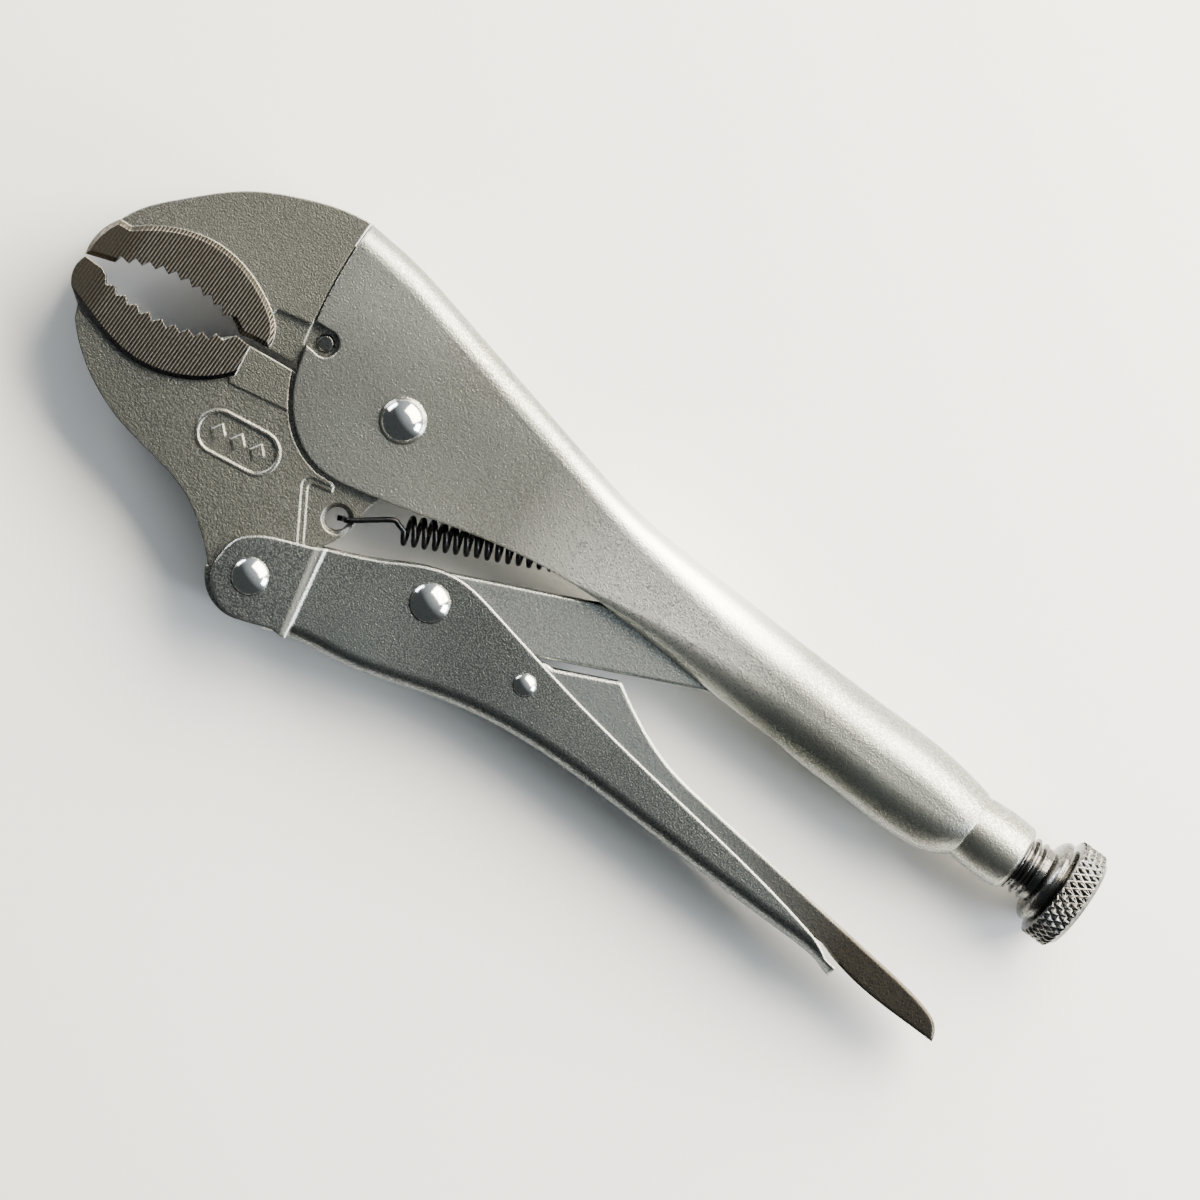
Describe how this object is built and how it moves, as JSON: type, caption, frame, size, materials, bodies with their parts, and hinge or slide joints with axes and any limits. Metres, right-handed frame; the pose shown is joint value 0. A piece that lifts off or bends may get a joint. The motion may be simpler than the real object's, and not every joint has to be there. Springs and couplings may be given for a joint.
{
  "type": "locking pliers",
  "caption": "Locking pliers with curved toothed jaws, over-centre toggle link, adjusting screw and release lever.",
  "frame": {"origin": "middle of the tool's outline, on the surface that it lies on", "axes": "+X along the fixed handle from the jaws to the adjusting screw, +Y from the lever handle to the fixed handle's spine, +Z along the rivets"},
  "size_m": [0.2526, 0.0846, 0.0234],
  "materials": {
    "satin_handle": "satin nickel plating over fine blasted sheet steel",
    "satin_lever": "satin nickel plating, coarser and darker speckle",
    "jaw_steel": "blasted and plated forging, toothed pads ground bare",
    "rivet_steel": "polished domed rivet",
    "link_steel": "satin plated plate",
    "spring_steel": "black phosphated spring wire",
    "screw_steel": "bright plated turned steel with diamond knurl"
  },
  "bodies": {
    "handle": {"fixed_handle": "satin_handle", "fixed_jaw": "jaw_steel", "jaw_dowel_pin": "rivet_steel", "main_pivot_rivet": "rivet_steel", "jaw_spring": "spring_steel"},
    "lower_jaw": {"movable_jaw": "jaw_steel"},
    "lever": {"lever_handle": "satin_lever", "jaw_lever_rivet": "rivet_steel", "link_rivet": "rivet_steel", "release_rivet": "rivet_steel"},
    "link": {"toggle_link": "link_steel"},
    "release": {"release_lever": "satin_lever"},
    "screw": {"adjusting_screw": "screw_steel"}
  },
  "joints": [
    {"name": "jaw_pivot", "type": "hinge", "parent": "handle", "child": "lower_jaw", "pos_m": [-0.05157, 0.01248, 0.0117], "axis": [0, 0, 1], "range_deg": [0, 30], "deforming": ["jaw_spring"]},
    {"name": "lever_pivot", "type": "hinge", "parent": "lower_jaw", "child": "lever", "pos_m": [-0.05857, -0.03282, 0.0117], "axis": [0, 0, 1], "range_deg": [-83.1, 0]},
    {"name": "link_pivot", "type": "hinge", "parent": "lever", "child": "link", "pos_m": [-0.02457, -0.01532, 0.0117], "axis": [0, 0, 1], "range_deg": [0, 88.8]},
    {"name": "release_pull", "type": "hinge", "parent": "lever", "child": "release", "pos_m": [0.00183, -0.01772, 0.0117], "axis": [0, 0, 1], "range_deg": [0, 2.5]},
    {"name": "screw_turn", "type": "hinge", "parent": "handle", "child": "screw", "pos_m": [0.09843, 0.01328, 0.0117], "axis": [1, 0, 0], "range_deg": [-900, 3240]}
  ],
  "couplings": [
    {"joint": "lever_pivot", "follows": "jaw_pivot", "ratio": -2.77},
    {"joint": "link_pivot", "follows": "jaw_pivot", "ratio": 2.96}
  ]
}
